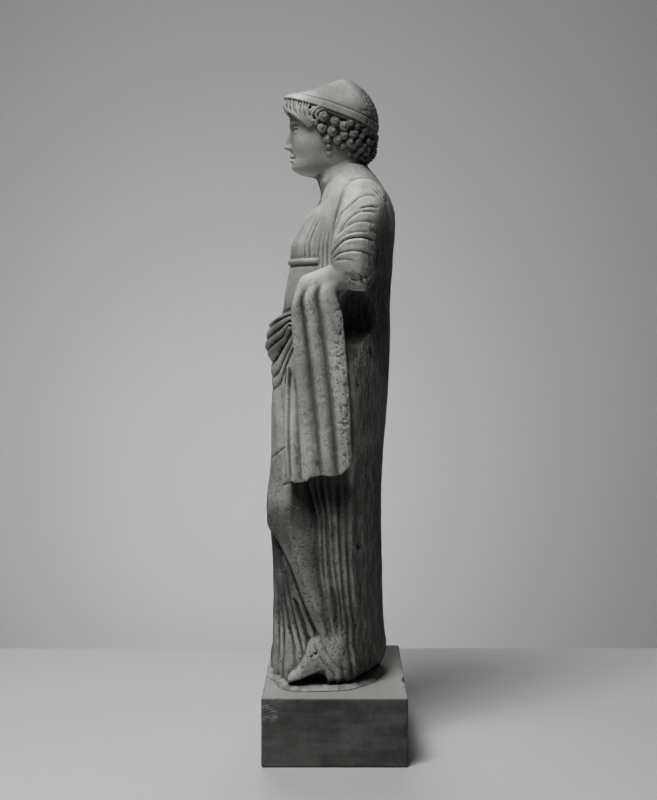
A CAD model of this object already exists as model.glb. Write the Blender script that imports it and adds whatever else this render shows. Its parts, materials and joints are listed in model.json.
import itertools
import json
import math

import bpy
import numpy as np
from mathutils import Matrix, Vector

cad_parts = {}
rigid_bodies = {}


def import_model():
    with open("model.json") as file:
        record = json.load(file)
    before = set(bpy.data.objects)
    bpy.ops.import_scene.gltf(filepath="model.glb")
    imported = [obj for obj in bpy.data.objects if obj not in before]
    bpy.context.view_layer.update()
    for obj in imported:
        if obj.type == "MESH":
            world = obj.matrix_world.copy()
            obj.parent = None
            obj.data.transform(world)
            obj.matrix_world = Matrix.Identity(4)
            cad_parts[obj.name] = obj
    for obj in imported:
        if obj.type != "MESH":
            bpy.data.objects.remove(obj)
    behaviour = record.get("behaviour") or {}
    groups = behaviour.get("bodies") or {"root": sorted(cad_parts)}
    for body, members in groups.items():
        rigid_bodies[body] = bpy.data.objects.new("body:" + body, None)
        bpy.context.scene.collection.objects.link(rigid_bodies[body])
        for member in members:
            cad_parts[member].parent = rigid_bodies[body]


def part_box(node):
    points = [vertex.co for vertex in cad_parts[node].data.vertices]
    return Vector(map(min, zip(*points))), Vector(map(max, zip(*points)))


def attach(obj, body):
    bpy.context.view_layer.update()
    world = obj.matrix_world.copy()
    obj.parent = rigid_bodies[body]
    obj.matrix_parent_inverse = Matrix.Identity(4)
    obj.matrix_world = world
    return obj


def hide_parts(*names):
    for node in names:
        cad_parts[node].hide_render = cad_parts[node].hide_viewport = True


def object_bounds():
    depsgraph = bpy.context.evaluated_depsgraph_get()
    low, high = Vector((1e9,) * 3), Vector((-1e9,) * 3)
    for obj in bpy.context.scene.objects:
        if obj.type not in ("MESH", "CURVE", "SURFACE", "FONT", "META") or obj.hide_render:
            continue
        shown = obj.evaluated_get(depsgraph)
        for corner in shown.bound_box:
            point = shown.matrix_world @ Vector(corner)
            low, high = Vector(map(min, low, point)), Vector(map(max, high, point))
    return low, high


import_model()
cad_low, cad_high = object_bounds()
bpy.ops.object.select_all(action="DESELECT")

# The block under the statue: a plain squared slab of pale stone with bruised, slightly rounded
# edges. It is sawn flat on its underside, and its sides are duller and more streaked than its top.

PLINTH_LOW, PLINTH_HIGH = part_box("plinth")
PLINTH_EDGE = 2.4
PLINTH_CHIPS = 2.6


def corners(piece):
    """A mesh's corners in millimetres."""
    flat = np.empty(len(piece.data.vertices) * 3)
    piece.data.vertices.foreach_get("co", flat)
    return flat.reshape(-1, 3) * 1000


def move_corners(piece, points):
    """Puts a mesh's corners where the points say, in millimetres."""
    piece.data.vertices.foreach_set("co", (points / 1000).ravel())
    piece.data.update()


def corner_normals(piece):
    flat = np.empty(len(piece.data.vertices) * 3, np.float32)
    piece.data.vertex_normals.foreach_get("vector", flat)
    return flat.reshape(-1, 3).astype(float)


def ease(low, high, value):
    """0 below low, 1 above high and smooth between."""
    share = np.clip((value - low) / (high - low), 0, 1)
    return share * share * (3 - 2 * share)


def ebb(low, high, value):
    """1 below low, 0 above high and smooth between."""
    return 1 - ease(low, high, value)


def lumps(points, size, seed):
    """Soft random swellings about as wide as size, from -1 to 1."""
    table = np.random.default_rng(seed).uniform(-1, 1, 4096)
    cell = points / size
    low = np.floor(cell).astype(np.int64)
    part = cell - low
    part = part * part * (3 - 2 * part)
    total = np.zeros(len(points))
    for step in itertools.product((0, 1), repeat=3):
        at = low + step
        place = at[:, 0] * 73856093 ^ at[:, 1] * 19349663 ^ at[:, 2] * 83492791
        total += table[place % 4096] * np.prod(np.where(step, part, 1 - part), axis=1)
    return total


def apply_modifier(kind, **settings):
    modifier = bpy.context.object.modifiers.new(kind.lower(), kind)
    for name, value in settings.items():
        setattr(modifier, name, value)
    bpy.ops.object.modifier_apply(modifier=modifier.name)


bpy.ops.mesh.primitive_cube_add(size=1, location=(PLINTH_HIGH + PLINTH_LOW) / 2)
plinth = bpy.context.object
plinth.name = "worn_plinth"
plinth.scale = PLINTH_HIGH - PLINTH_LOW
bpy.ops.object.transform_apply(location=True, rotation=True, scale=True)
apply_modifier("BEVEL", width=PLINTH_EDGE / 1000, segments=3)
apply_modifier("REMESH", mode="VOXEL", voxel_size=0.0024)
points = corners(plinth)
normals = corner_normals(plinth)
low, high = np.array(PLINTH_LOW) * 1000, np.array(PLINTH_HIGH) * 1000
off_side = np.sort(np.minimum(points - low, high - points), axis=1)
edge = ebb(1, 9, off_side[:, 1])
bruise = ease(0.25, 0.75, lumps(points, 17, 3) + 0.35 * lumps(points, 6, 4))
wear = PLINTH_CHIPS * edge * bruise + 0.35 * (1 + lumps(points, 26, 5)) + 0.2 * (1 + lumps(points, 5, 6))
wear *= ease(0, 6, points[:, 2])
inward = np.array([0.0, 0.0, 52.0]) - points
inward[:, :2] *= 0.5
inward /= np.linalg.norm(inward, axis=1)[:, None]
points += np.where((edge > 0.1)[:, None], inward, -normals) * wear[:, None]
points[:, 2] = np.maximum(points[:, 2], 0)
move_corners(plinth, points)
apply_modifier("DECIMATE", ratio=0.35)
bpy.ops.object.shade_smooth_by_angle(angle=math.radians(40))


def socket(group, name, kind, way, value=None):
    made = group.interface.new_socket(name=name, socket_type=kind, in_out=way)
    if value is not None:
        made.default_value = value


def node(tree, kind, values=None, **settings):
    made = tree.nodes.new(kind)
    for name, value in settings.items():
        setattr(made, name, value)
    for name, value in (values or {}).items():
        if hasattr(value, "is_output"):
            tree.links.new(value, made.inputs[name])
        else:
            made.inputs[name].default_value = value
    return made


def combine(tree, operation, a, b):
    return node(tree, "ShaderNodeMath", {0: a, 1: b}, operation=operation).outputs[0]


def times(tree, a, b):
    return combine(tree, "MULTIPLY", a, b)


def between(tree, value, low, high):
    """The same smooth step as ease, for a value in a material."""
    made = node(tree, "ShaderNodeMapRange", {"Value": value, "From Min": low, "From Max": high})
    made.interpolation_type = "SMOOTHSTEP"
    return made.outputs["Result"]


def blend(tree, share, a, b, way="MIX"):
    made = node(tree, "ShaderNodeMix", data_type="RGBA", blend_type=way)
    for at, value in ((0, share), (6, a), (7, b)):
        if hasattr(value, "is_output"):
            tree.links.new(value, made.inputs[at])
        else:
            made.inputs[at].default_value = value
    return made.outputs[2]


def tinted(tree, tone, mask, amount, colour):
    """The tone drawn towards a colour where the mask is high."""
    return blend(tree, times(tree, mask, amount), tone, colour)


def noise(tree, where, scale, detail, roughness=0.55):
    values = {"Vector": where, "Scale": scale, "Detail": detail, "Roughness": roughness}
    return node(tree, "ShaderNodeTexNoise", values).outputs["Fac"]


# Weathering that every stone here has: soft blotches of two tones, fine grain and scattered pits
weathering = bpy.data.node_groups.new("weathering", "ShaderNodeTree")
for name, kind, value in (
    ("Place", "NodeSocketVector", None),
    ("Light tone", "NodeSocketColor", (0.7, 0.7, 0.68, 1)),
    ("Dark tone", "NodeSocketColor", (0.4, 0.4, 0.38, 1)),
    ("Blotch scale", "NodeSocketFloat", 12.0),
    ("Grain scale", "NodeSocketFloat", 500.0),
    ("Pit scale", "NodeSocketFloat", 170.0),
    ("Pits", "NodeSocketFloat", 0.5),
):
    socket(weathering, name, kind, "INPUT", value)
socket(weathering, "Color", "NodeSocketColor", "OUTPUT")
for name in ("Roughness", "Height"):
    socket(weathering, name, "NodeSocketFloat", "OUTPUT")
given = weathering.nodes.new("NodeGroupInput")
result = weathering.nodes.new("NodeGroupOutput")
place = given.outputs["Place"]
blotch = noise(weathering, place, given.outputs["Blotch scale"], 7, 0.62)
grain = noise(weathering, place, given.outputs["Grain scale"], 4, 0.6)
pitting = noise(weathering, place, given.outputs["Pit scale"], 3, 0.5)
pits = between(weathering, pitting, 0.6, 0.72)
pits = times(weathering, pits, given.outputs["Pits"])
share = between(weathering, blotch, 0.36, 0.66)
tone = blend(weathering, share, given.outputs["Dark tone"], given.outputs["Light tone"])
speck = times(weathering, between(weathering, grain, 0.3, 0.75), 0.3)
tone = blend(weathering, speck, tone, (0.9, 0.9, 0.88, 1), "SOFT_LIGHT")
tone = blend(weathering, times(weathering, pits, 0.55), tone, given.outputs["Dark tone"], "MULTIPLY")
height = combine(weathering, "SUBTRACT", times(weathering, grain, 0.45), pits)
height = combine(weathering, "ADD", height, times(weathering, blotch, 0.5))
rough = combine(weathering, "ADD", times(weathering, grain, 0.2), 0.76)
for value, name in ((tone, "Color"), (rough, "Roughness"), (height, "Height")):
    weathering.links.new(value, result.inputs[name])


def new_material(name):
    material = bpy.data.materials.new(name)
    material.use_nodes = True
    tree = material.node_tree
    tree.nodes.clear()
    shader = tree.nodes.new("ShaderNodeBsdfPrincipled")
    shader.inputs["Specular IOR Level"].default_value = 0.25
    output = tree.nodes.new("ShaderNodeOutputMaterial")
    tree.links.new(shader.outputs["BSDF"], output.inputs["Surface"])
    return material, tree, shader


def weathered(tree, values):
    place = tree.nodes.new("ShaderNodeTexCoord").outputs["Object"]
    made = node(tree, "ShaderNodeGroup", node_tree=weathering)
    for name, value in values.items():
        made.inputs[name].default_value = value
    tree.links.new(place, made.inputs["Place"])
    return place, made


def finish_material(tree, shader, stone, tone, height, strength, distance):
    bump = node(tree, "ShaderNodeBump", {"Height": height, "Strength": strength, "Distance": distance})
    tree.links.new(tone, shader.inputs["Base Color"])
    tree.links.new(stone.outputs["Roughness"], shader.inputs["Roughness"])
    tree.links.new(bump.outputs["Normal"], shader.inputs["Normal"])


block_stone, tree, shader = new_material("block_stone")
place, stone = weathered(tree, {
    "Light tone": (0.2, 0.2, 0.194, 1),
    "Dark tone": (0.115, 0.115, 0.111, 1),
    "Blotch scale": 16.0,
    "Grain scale": 420.0,
    "Pit scale": 130.0,
    "Pits": 0.35,
})
stretched = node(tree, "ShaderNodeMapping", {"Vector": place, "Scale": (1.0, 1.0, 6.0)}).outputs["Vector"]
streak = between(tree, noise(tree, stretched, 14.0, 5), 0.42, 0.7)
tone = tinted(tree, stone.outputs["Color"], streak, 0.3, (0.3, 0.3, 0.29, 1))
level = node(tree, "ShaderNodeSeparateXYZ", {"Vector": place}).outputs["Z"]
dust = between(tree, level, 0.1005, 0.1035)
tone = tinted(tree, tone, dust, 0.85, (0.62, 0.615, 0.59, 1))
# Pale scratches near the front upper corner of the left face
SCRATCHED = {"middle": (0.16, -0.098, 0.084), "inner": 0.007, "outer": 0.021}
moved = node(tree, "ShaderNodeVectorMath", {0: place, 1: SCRATCHED["middle"]}, operation="SUBTRACT")
reach = node(tree, "ShaderNodeVectorMath", {0: moved.outputs["Vector"]}, operation="LENGTH")
slant = {"Vector": place, "Rotation": (0.7, 0, 0), "Scale": (1, 1, 5)}
turned = node(tree, "ShaderNodeMapping", slant).outputs["Vector"]
scratch = between(tree, noise(tree, turned, 110.0, 3), 0.52, 0.62)
close = between(tree, reach.outputs["Value"], SCRATCHED["outer"], SCRATCHED["inner"])
scratch = times(tree, scratch, close)
tone = tinted(tree, tone, scratch, 0.75, (0.7, 0.7, 0.68, 1))
finish_material(tree, shader, stone, tone, stone.outputs["Height"], 0.6, 0.0008)
plinth.data.materials.append(block_stone)
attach(plinth, "root")
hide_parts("plinth")
bpy.ops.object.select_all(action="DESELECT")

# The bedding: a thin collar of pale setting plaster squeezed out under the statue's foot. It was
# trowelled off by hand, so its rim wanders, is thickest in front and has crumbled here and there.

SOLE = 111.1
BED_LOW, BED_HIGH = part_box("bedding")


def curve(table):
    """A smooth line through a short list of positions and values."""
    at = np.array([row[0] for row in table], float)
    value = np.array([row[1] for row in table], float)
    slope = np.empty(len(at))
    slope[1:-1] = (value[2:] - value[:-2]) / (at[2:] - at[:-2])
    slope[0] = (value[1] - value[0]) / (at[1] - at[0])
    slope[-1] = (value[-1] - value[-2]) / (at[-1] - at[-2])

    def read(position):
        here = np.clip(position, at[0], at[-1])
        i = np.clip(np.searchsorted(at, here) - 1, 0, len(at) - 2)
        span = at[i + 1] - at[i]
        u = (here - at[i]) / span
        rise = u * u * (3 - 2 * u)
        bend = slope[i] * u * (1 - u) ** 2 - slope[i + 1] * u * u * (1 - u)
        return value[i] * (1 - rise) + value[i + 1] * rise + bend * span

    return read


def sine(angle):
    return np.sin(np.radians(angle))


def cosine(angle):
    return np.cos(np.radians(angle))


def bell(offset, reach):
    return np.exp(-((offset / reach) ** 2))


def rolled(name, around, along, place):
    """A closed skin: a grid whose corners are placed, whose two long edges are joined, and whose
    two ends are filled. place takes the shares of the way round and along."""
    bpy.ops.mesh.primitive_grid_add(x_subdivisions=around, y_subdivisions=along, size=1)
    piece = bpy.context.object
    piece.name = name
    flat = corners(piece) / 1000 + 0.5
    x, y, z = place(flat[:, 0], flat[:, 1])
    move_corners(piece, np.column_stack(np.broadcast_arrays(x, y, z)).astype(float))
    bpy.ops.object.mode_set(mode="EDIT")
    bpy.ops.mesh.select_all(action="SELECT")
    bpy.ops.mesh.remove_doubles(threshold=1e-5)
    bpy.ops.mesh.fill_holes(sides=0)
    bpy.ops.mesh.select_all(action="SELECT")
    bpy.ops.mesh.normals_make_consistent(inside=False)
    bpy.ops.object.mode_set(mode="OBJECT")
    return piece


FRONT = curve([
    (SOLE, -103), (132, -104), (150, -101), (274, -100), (326, -101), (380, -102.5), (520, -102.5),
    (590, -98), (640, -95), (684, -84), (714, -80), (757, -73), (785, -71), (801, -64), (834, -45),
    (856, -27), (881, -19), (917, -6),
])
BACK = curve([
    (SOLE, 70), (127, 79), (145, 82), (175, 78.5), (250, 75.5), (380, 74), (455, 77), (558, 85),
    (636, 88.5), (700, 88.5), (765, 93), (817, 96.5), (843, 95), (868, 87), (881, 79), (900, 66), (917, 51),
])
MIDDLE = curve([(SOLE, -8), (400, -8), (700, 2), (860, 24), (917, 22)])
LEFT_WIDTH = curve([
    (SOLE, 117), (135, 123), (200, 117), (365, 104), (450, 96), (560, 94), (650, 88), (757, 78),
    (800, 82), (840, 86), (862, 78), (881, 58), (900, 42), (917, 34),
])
RIGHT_WIDTH = curve([
    (SOLE, 117), (135, 121), (200, 114), (365, 104), (450, 100), (560, 102), (650, 94), (757, 78),
    (800, 82), (840, 86), (862, 78), (881, 58), (900, 42), (917, 34),
])
FRONT_ROUND = 2.3
BACK_ROUND = 2


def place_bed(around, along):
    angle = -360 * around
    foot = 19 * bell((angle + 360) % 360 - 58, 18)
    row = np.column_stack([90 * sine(angle), 90 * cosine(angle), 0 * angle])
    wander = 3 * lumps(row, 26, 11) + 0.7 * lumps(row, 7, 12)
    out = np.interp(along, [0, 0.45, 0.8, 1], [8, 7, 3.5, 1]) + foot * 0.8 + wander
    heights = [BED_LOW.z, BED_LOW.z + 0.0012, BED_HIGH.z - 0.002, BED_HIGH.z]
    z = np.interp(along, [0, 0.45, 0.8, 1], heights) * 1000
    wide = np.where(sine(angle) > 0, LEFT_WIDTH(SOLE), RIGHT_WIDTH(SOLE)) + out
    deep = np.where(cosine(angle) > 0, MIDDLE(SOLE) - FRONT(SOLE), BACK(SOLE) - MIDDLE(SOLE)) + out
    y = np.maximum(MIDDLE(SOLE) - deep * cosine(angle), BED_LOW.y * 1000)
    return wide * sine(angle), y, z


bedding = rolled("plaster_bedding", 360, 10, place_bed)
plaster, tree, shader = new_material("setting_plaster")
place, stone = weathered(tree, {
    "Light tone": (0.6, 0.6, 0.58, 1),
    "Dark tone": (0.36, 0.36, 0.34, 1),
    "Blotch scale": 60.0,
    "Grain scale": 600.0,
    "Pit scale": 220.0,
    "Pits": 0.5,
})
finish_material(tree, shader, stone, stone.outputs["Color"], stone.outputs["Height"], 0.7, 0.001)
bedding.data.materials.append(plaster)
bpy.ops.object.shade_smooth_by_angle(angle=math.radians(40))
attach(bedding, "root")
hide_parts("bedding")
bpy.ops.object.select_all(action="DESELECT")

# The figure is one carved piece of soft limestone. Its body, skirt and mantle come first: a long
# round shaft with the skirt's folds, the roll of the mantle across the belly, belt and bodice.
# Angles round it are in degrees: 0 at the front, 90 at the figure's left, 180 at the back.

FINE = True
BODY_LOW, BODY_HIGH = SOLE - 6, 917
GRAIN = 1.5 if FINE else 2.4
KNEE = {"high": 13, "z": 374, "tall": 50, "angle": 30, "wide": 28}
SWAG = {"bulk": 16, "valley": -8, "start": -125, "end": 80}
BELT = {"low": 756.5, "high": 764, "proud": 3.5, "reach": 100, "end": 66}
CHEST = {"low": 764, "high": 886, "folds": 32, "deep": 2.8}
BUST = {"proud": 4, "angle": 34, "wide": 22, "z": 790, "tall": 20}
HOLLOW = {"x": 104, "y": 34, "z": 676, "wide": 58, "deep": 37, "high": 50}


def window(rise, full, still, gone, value):
    """0 outside rise and gone, 1 from full to still and smooth between."""
    return ease(rise, full, value) * ebb(still, gone, value)


def angle_at(y, z):
    """Where a point of the side outline lies round the body's left side."""
    deep = np.where(y < MIDDLE(z), MIDDLE(z) - FRONT(z), BACK(z) - MIDDLE(z))
    power = np.where(y < MIDDLE(z), FRONT_ROUND, BACK_ROUND) / 2
    turn = np.degrees(np.arccos(np.clip((np.abs(y - MIDDLE(z)) / deep) ** power, 0, 1)))
    return np.where(y < MIDDLE(z), turn, 180 - turn)


def side_line(table):
    """A line on the left side, given as Y and height from top to foot, as an angle for each height."""
    rows = [(z, float(angle_at(y, z))) for y, z in reversed(table)]
    return curve(rows)


def draped(position, z, lines, tight=(0, 1e-6)):
    """Height of cloth between lines of ridges and sharp valleys. Each line is where it runs at
    each z and how high the cloth stands there. Folds that run close together are flatter."""
    where = np.stack([line(z) for line, _ in lines])
    gaps = np.pad(np.diff(where, axis=0), ((1, 1), (0, 0)), constant_values=1e3)
    high = np.array([height for _, height in lines], float)[:, None]
    high = high * ease(*tight, np.minimum(gaps[:-1], gaps[1:]))
    i = np.clip((position > where).sum(axis=0) - 1, 0, len(lines) - 2)
    pick = np.arange(position.size)
    low, rise = high[i, pick], high[i + 1, pick] - high[i, pick]
    width = np.maximum(where[i + 1, pick] - where[i, pick], 1e-3)
    share = np.clip((position - where[i, pick]) / width, 0, 1)
    bend = np.where(rise > 0, np.sin(share * math.pi / 2), 1 - np.cos(share * math.pi / 2))
    return low + rise * (0.65 * bend + 0.35 * share)


# Valleys and ridges of the skirt on the figure's left, as Y and height from top to foot
SKIRT_LINES = [
    ([(-96, 300), (-93, 255), (-89.5, 225), (-88, 205), (-87.5, 164), (-87, SOLE)], -5),
    ([(-95, 302), (-91.5, 258), (-87.5, 228), (-86, 205), (-85, 164), (-84.5, SOLE)], 0),
    ([(-94, 304), (-90, 262), (-85, 233), (-82, 210), (-81.5, 180), (-82, 149), (-82, SOLE)], -6),
    ([(-93, 306), (-88.5, 268), (-83, 236), (-79.5, 212), (-76, 180), (-75, 149), (-75, SOLE)], 0.5),
    ([(-93, 318), (-86, 290), (-82, 271), (-80, 240), (-76, 218), (-71.5, 198), (-67, 180),
      (-64, 157), (-62, SOLE)], -5),
    ([(-92.5, 321), (-85, 294), (-80, 268), (-76, 242), (-66.5, 200), (-61.5, 180), (-57.5, 158),
      (-55, SOLE)], 0.5),
    ([(-92, 324), (-84.5, 298), (-77.5, 268), (-71.5, 240), (-62.5, 202), (-56.5, 180), (-51.5, 161),
      (-48, SOLE)], -5),
    ([(-92, 327), (-84, 302), (-76.5, 275), (-68, 247), (-56.5, 204), (-50, 183), (-45, 162),
      (-41, SOLE)], 1),
    ([(-93, 335), (-85, 308), (-79, 283), (-70, 253), (-59, 222), (-53, 207), (-47, 188),
      (-39.5, 161), (-36, SOLE)], -8),
    ([(-95, 346), (-84, 314), (-74, 284), (-64, 256), (-50, 222), (-43, 207), (-36, 190), (-30, 165),
      (-27, SOLE)], 0),
    ([(-99.5, 360), (-90, 332), (-82, 314), (-71.5, 288), (-58.5, 254), (-44, 219), (-29, 188),
      (-21, 178), (-15, SOLE)], -9),
    ([(-92, 350), (-77, 318), (-62, 285), (-46, 245), (-35, 220), (-25, 200), (-15, 180), (-10, 160),
      (-8, SOLE)], 8),
    ([(-78, 356), (-66, 318), (-53, 285), (-38, 245), (-28, 220), (-19, 200), (-12, 180), (-7, SOLE)], 7),
    ([(-72, 360), (-60, 318), (-48, 285), (-33, 245), (-24, 220), (-16, 200), (-10.5, 180),
      (-6.5, SOLE)], 8),
    ([(-50, 413), (-33, 363), (-31, 345), (-30, 322), (-28, 290), (-23, 262), (-16, 235),
      (-11.5, 205), (-5.5, SOLE)], -14),
    ([(-44, 413), (-27.5, 365), (-25, 341), (-22, 312), (-20, 280), (-14, 235), (-10.5, 205),
      (-4, SOLE)], 1.5),
    ([(-36, 413), (-22, 365), (-20, 340), (-18, 290), (-15.5, 264), (-13.5, 241), (-8, 196),
      (-4, 170), (-1, SOLE)], -6),
    ([(-30, 413), (-18, 365), (-16, 340), (-13.5, 290), (-9, 241), (-2.5, 196), (1, 170), (4, SOLE)], 2),
    ([(-24, 413), (-13.5, 363), (-10.5, 325), (-7, 280), (-4, 257), (2, 234), (6, 181), (12.5, 135),
      (15.5, SOLE)], -7.5),
    ([(-16, 413), (-8, 363), (-5.5, 310), (-3.5, 287), (5, 234), (9.5, 181), (17, 135), (20, SOLE)], 2.5),
    ([(-10, 413), (-4, 363), (-1, 303), (5, 257), (8.5, 234), (12.5, 181), (20.5, 135), (23, SOLE)], -3.5),
    ([(-3, 413), (3, 363), (5, 303), (9, 257), (14.5, 211), (19, 158), (23, 135), (26, SOLE)], 1),
    ([(8, 413), (9.5, 363), (9.5, 325), (11, 287), (14, 242), (20, 204), (21.5, 166), (26, 128),
      (28, SOLE)], -6),
    ([(13, 413), (14, 366), (15, 318), (20, 240), (25, 204), (27, 166), (33, SOLE)], 1),
    ([(20, 413), (20, 366), (20, 318), (25, 240), (29, 204), (32, 166), (38, SOLE)], -4),
    ([(27, 413), (27, 366), (27, 318), (32, 240), (36, 204), (39, 166), (45, SOLE)], 0),
    ([(34, 413), (34, 366), (34, 318), (39, 240), (43, 204), (46, 166), (52, SOLE)], -2.5),
    ([(44, 413), (44, 366), (44, 318), (46, 257), (50, 200), (54, 153), (58, SOLE)], 0),
]
RIGHT_START, RIGHT_FOLDS = -150, 11


def skirt_lines():
    lines = []
    random = np.random.default_rng(8)
    front = side_line(SKIRT_LINES[0][0])
    lines.append((lambda z: RIGHT_START + 0 * z, 0.0))
    for i in range(1, 2 * RIGHT_FOLDS):
        share = (i + random.uniform(-0.3, 0.3)) / (2 * RIGHT_FOLDS)
        high = random.uniform(0, 1) if i % 2 == 0 else -random.uniform(3.5, 7)
        line = lambda z, share=share: RIGHT_START + (front(z) - RIGHT_START) * share
        lines.append((line, high))
    lines += [(side_line(table), high) for table, high in SKIRT_LINES]
    return lines


SKIRT = skirt_lines()
FAN = side_line(SKIRT_LINES[10][0])
SHIN_TOP = side_line(SKIRT_LINES[14][0])


def skirt_relief(angle, z):
    relief = draped(angle, z, SKIRT, (0.1, 1.0))
    fade = ebb(395, 470, z)
    fan = np.where((angle < FAN(z)) & (angle > -25), ebb(330, 400, z), 1)
    rounded = ease(330, 400, z) * ease(0, 9, SHIN_TOP(z) - angle)
    shin = np.where((angle >= FAN(z)) & (angle < SHIN_TOP(z)), 1 - rounded, 1)
    knee = KNEE["high"] * bell(z - KNEE["z"], KNEE["tall"]) * bell(angle - KNEE["angle"], KNEE["wide"])
    return relief * fade * fan * shin + knee


# The top edge and the valleys of the roll: their heights behind and before the right hip and in
# front, and then Y and height on the figure's left
SWAG_LINES = [
    ((702, 692, 672), [(-98, 671), (-84, 679), (-70, 683)]),
    ((694, 680, 656), [(-103, 656), (-86, 668), (-70.5, 675.5)]),
    ((684, 665, 638), [(-104, 640), (-86, 653.5), (-70, 666)]),
    ((673, 650, 619), [(-105.5, 622), (-84, 640.5), (-70, 659)]),
    ((662, 635, 601), [(-100, 608), (-86, 628), (-70, 651)]),
    ((651, 618, 578), [(-99, 585), (-86, 610), (-70, 637)]),
    ((640, 602, 560), [(-98, 568), (-84, 602), (-70.5, 628)]),
]


def swag_lines():
    """Heights of valleys and of the flat folds between them, for each angle round the body."""
    rows = []
    for (far, hip, front), table in SWAG_LINES:
        table = [(float(angle_at(MIDDLE(z) + (y - MIDDLE(z)) / 1.13, z)), z) for y, z in table]
        rows.append(curve([(-120, far), (-60, hip), (0, front)] + [row for row in table if row[0] > 12]))
    lines = [(lambda angle: -rows[0](angle), 0.0)]
    for i in range(1, len(rows)):
        high, low = rows[i - 1], rows[i]
        if i > 1:
            lines.append((lambda angle, high=high, low=low: -0.68 * high(angle) - 0.32 * low(angle), 0.4))
        lines.append((lambda angle, high=high, low=low: -0.34 * high(angle) - 0.66 * low(angle), 0.8))
        lines.append((lambda angle, low=low: -low(angle), SWAG["valley"]))
    return rows, lines + [(lambda angle: -rows[-1](angle) + 9, 0.0)]


SWAG_ROWS, SWAG_FOLDS = swag_lines()


def swag_relief(angle, z):
    start, end = SWAG["start"], SWAG["end"]
    across = window(start, start + 30, end - 10, end, angle)
    top, foot = SWAG_ROWS[0](angle), SWAG_ROWS[-1](angle)
    down = (top - z) / (top - foot)
    inside = ease(-0.03, 0.02, down) * (1 - 0.45 * ease(0.6, 0.8, down) - 0.55 * ease(0.95, 1.12, down))
    thinner = 1 - 0.7 * ease(0.4, 0.66, down) - 0.3 * ease(0.68, 1.1, down)
    bulk = SWAG["bulk"] * ease(-0.06, 0.1, down) * thinner
    place = np.clip(angle, start, 95)
    where = np.stack([line(place) for line, _ in SWAG_FOLDS])
    high = np.array([height for _, height in SWAG_FOLDS])
    i = np.clip((-z > where).sum(axis=0) - 1, 0, len(high) - 2)
    pick = np.arange(z.size)
    share = np.clip((-z - where[i, pick]) / np.maximum(where[i + 1, pick] - where[i, pick], 1e-3), 0, 1)
    share = np.where(high[i] < high[i + 1], np.sin(share * math.pi / 2), 1 - np.cos(share * math.pi / 2))
    deep = inside * (1 - 0.6 * bell(angle, 26))
    return across * (bulk + deep * (high[i] + (high[i + 1] - high[i]) * share))


def bodice_relief(angle, z):
    reach = ebb(BELT["reach"] - 15, BELT["reach"], np.abs(angle))
    beside = ease(BELT["end"], BELT["end"] + 3, angle)
    belt = window(BELT["low"] - 0.8, BELT["low"] + 0.6, BELT["high"] - 0.6, BELT["high"] + 0.8, z)
    belt = belt * (1 - beside) - 0.63 * bell(z - BELT["low"] + 2.4, 1.7) * (1 - beside)
    foot = CHEST["low"] - 24 * beside
    bust = BUST["proud"] * bell(np.abs(angle) - BUST["angle"], BUST["wide"])
    bust *= bell(z - BUST["z"], BUST["tall"])
    lean = angle * (1 + 0.0012 * (z - CHEST["low"])) + 0.8 * np.sin(z / 37 + angle / 11)
    top = CHEST["high"] + 9 * np.sin(lean / 4.1)
    cloth = window(foot - 2, foot + 4, top - 70, top - 18, z)
    turns = lean * CHEST["folds"] / 180 + 0.3 * np.sin(lean / 6)
    valley = np.abs(np.sin(math.pi * turns)) ** 0.6 - 1
    uneven = 0.8 + 0.45 * np.sin(lean / 3.7)
    folds = cloth * CHEST["deep"] * uneven * valley
    return bust + reach * (BELT["proud"] * belt + 1.2 * beside * cloth + folds)


def under_folds(angle, z):
    """Faint slanting folds over the thighs, from the mantle down to the knees."""
    cover = window(420, 470, 545, 600, z) * ebb(100, 125, np.abs(angle))
    turns = (angle + (z - 480) * 0.16) / 24
    return 1.6 * cover * (np.abs(np.sin(math.pi * turns)) ** 0.6 - 1)


# The carving is cut in deep just above the block: how high, at each Y of the left side, and how deep
UNDERCUT_TOP = curve([
    (-76, SOLE), (-70, 114.5), (-66, 116.5), (-50, 121), (-35, 127), (-19, 132.5), (-15, 131), (-12, 119.5),
    (-4, 118.5), (27, 118.5), (36, 124), (50, 140), (64, 148), (76, 138),
])
UNDERCUT = curve([
    (-76, 0), (-68, 8), (-56, 24), (-19, 24), (-13, 11), (0, 8), (30, 8), (46, 13), (66, 11), (78, 3),
])


def side_depth(angle, z, y):
    """The skirt lies deep behind the hem of the hanging cloth. Above, the side fills out behind it."""
    recess = window(290, 410, 434, 470, z) * window(44, 56, 104, 116, angle)
    fill = window(400, 520, 570, 655, z) * window(90, 99, 108, 162, angle)
    under = UNDERCUT(y) * ebb(UNDERCUT_TOP(y) - 2.5, UNDERCUT_TOP(y), z) * ease(30, 45, angle)
    return 16 * fill - 15 * recess - under


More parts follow.
